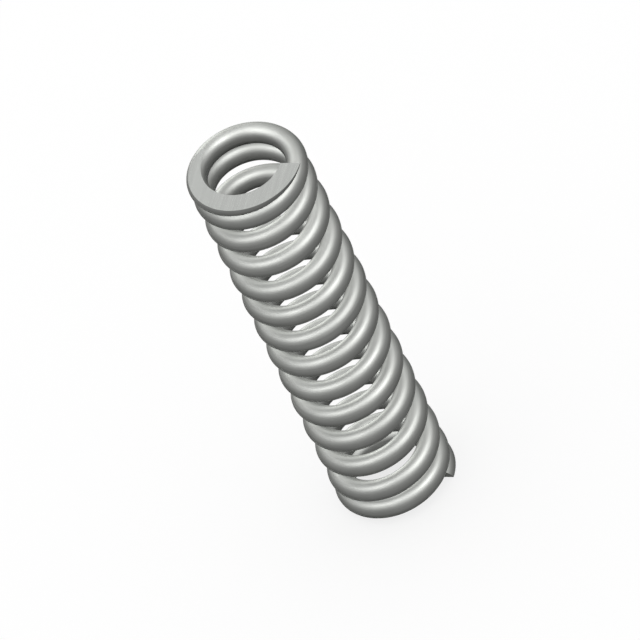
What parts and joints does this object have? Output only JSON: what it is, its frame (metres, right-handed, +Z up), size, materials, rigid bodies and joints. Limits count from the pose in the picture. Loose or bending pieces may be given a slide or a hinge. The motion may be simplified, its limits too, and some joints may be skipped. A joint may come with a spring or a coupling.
{
  "type": "compression spring",
  "caption": "Right-hand helical compression spring in round wire, its end coils closed and ground flat so that it stands on either end.",
  "frame": {"origin": "where the axis of the coil meets the lower ground face", "axes": "+Z up along the axis of the coil, from the lower ground face to the upper one; +X from the axis towards both wire tips"},
  "size_m": [0.012, 0.012, 0.0489],
  "materials": {
    "spring_steel": "drawn spring wire, bright, with ground end faces"
  },
  "bodies": {
    "root": {"spring": "spring_steel"}
  },
  "joints": []
}
